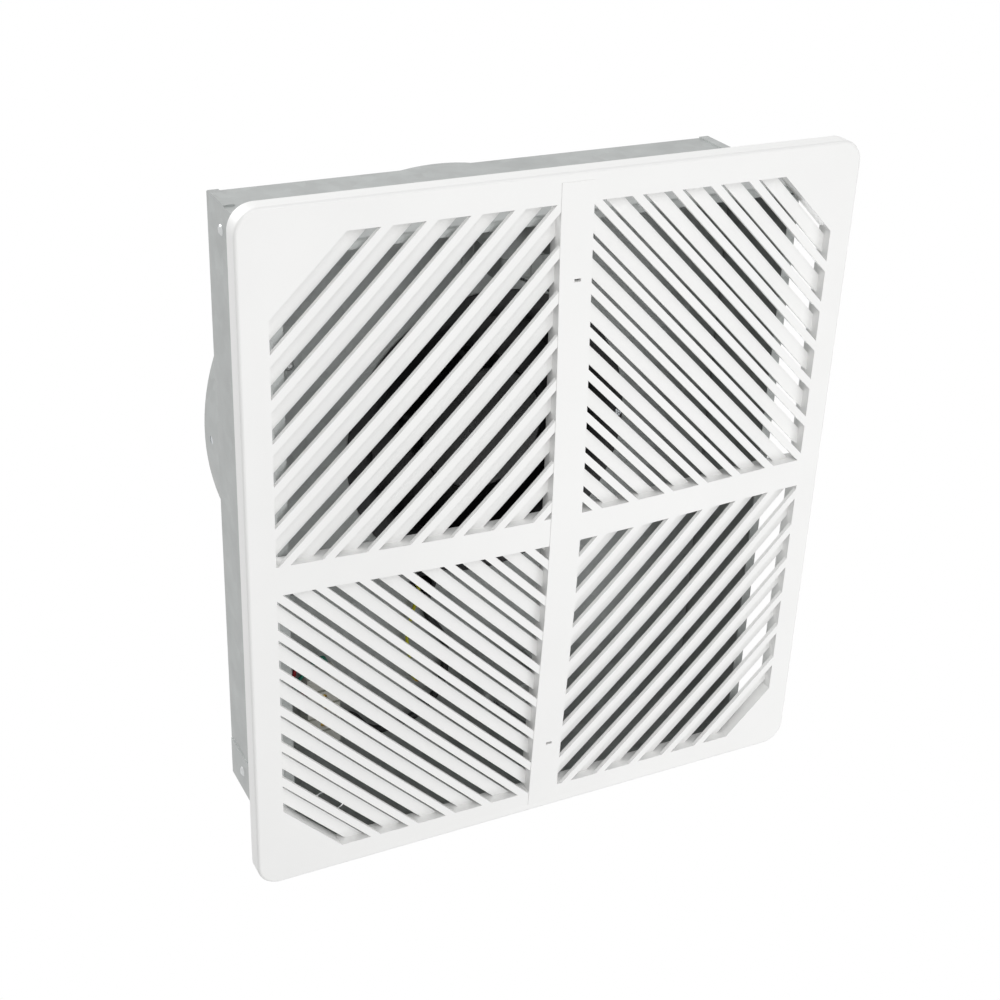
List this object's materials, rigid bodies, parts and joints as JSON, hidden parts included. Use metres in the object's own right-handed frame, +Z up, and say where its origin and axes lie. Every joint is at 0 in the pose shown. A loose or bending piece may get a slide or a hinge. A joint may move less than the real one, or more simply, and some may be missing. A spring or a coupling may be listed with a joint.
{
  "type": "ceiling exhaust fan",
  "caption": "Ceiling exhaust fan with a domed diagonal-slat grille, galvanised box housing, black centrifugal wheel, round outlet drum and a two-flap damper.",
  "frame": {"origin": "centre of the housing's open mouth, in the plane of the ceiling", "axes": "+Z up into the ceiling space, +X to the right and +Y towards the wiring end of the housing; the grille faces -Z"},
  "size_m": [0.42, 0.469, 0.193],
  "materials": {
    "white_plastic": "white styrene moulding, fine satin grain",
    "galvanised": "zinc-coated sheet, soft spangle, dull",
    "rivet_steel": "plated steel rivet",
    "screw_steel": "zinc-plated steel",
    "spring_steel": "bright spring wire",
    "black_plastic": "black glass-filled nylon, satin",
    "motor_black": "black painted steel",
    "flap_aluminium": "mill aluminium sheet",
    "white_nylon": "natural white nylon",
    "brass": "plain brass",
    "rubber_black": "black rubber",
    "cable_black": "black PVC sheath",
    "wire_yellow_green": "yellow PVC with a green stripe",
    "wire_red": "red PVC",
    "wire_green": "green PVC"
  },
  "bodies": {
    "housing": {"housing_wrap": "galvanised", "side_panel_left": "galvanised", "side_panel_right": "galvanised", "fan_deck": "galvanised", "corner_rivets": "rivet_steel", "inlet_ring": "black_plastic", "inlet_screws": "screw_steel", "motor_stator": "motor_black", "motor_spider": "galvanised", "motor_screws": "screw_steel", "outlet_drum": "galvanised", "drum_rivets": "rivet_steel", "spider_rivets": "rivet_steel", "damper_seat": "galvanised", "damper_rod": "screw_steel", "spring_bracket_front": "galvanised", "spring_bracket_rear": "galvanised", "terminal_block": "white_nylon", "terminal_screws": "brass", "deck_grommet": "rubber_black", "motor_cable": "cable_black", "earth_wire": "wire_yellow_green", "earth_screw": "brass", "earth_lug": "brass", "link_wire_red": "wire_red", "link_wire_green": "wire_green"},
    "wheel": {"impeller": "black_plastic", "impeller_shroud": "black_plastic", "motor_rotor": "motor_black", "rotor_screws": "screw_steel"},
    "front_flap": {"damper_flap_front": "flap_aluminium"},
    "rear_flap": {"damper_flap_rear": "flap_aluminium"},
    "front_grille": {"grille": "white_plastic", "grille_spring_front": "spring_steel", "grille_spring_rear": "spring_steel"}
  },
  "joints": [
    {"name": "wheel_spin", "type": "hinge", "parent": "housing", "child": "wheel", "pos_m": [0, -0.0375, 0.11], "axis": [0, 0, 1], "continuous": true},
    {"name": "front_flap_hinge", "type": "hinge", "parent": "housing", "child": "front_flap", "pos_m": [0, -0.0287, 0.15496], "axis": [-1, 0, 0], "range_deg": [0, 78]},
    {"name": "rear_flap_hinge", "type": "hinge", "parent": "housing", "child": "rear_flap", "pos_m": [0, -0.0287, 0.15496], "axis": [1, 0, 0], "range_deg": [0, 78]},
    {"name": "grille_drop", "type": "slide", "parent": "housing", "child": "front_grille", "axis": [0, 0, -1], "range_m": [0, 0.09], "stiffness_N_per_m": 120, "springref_m": -0.09, "deforming": ["grille_spring_front", "grille_spring_rear"]}
  ]
}
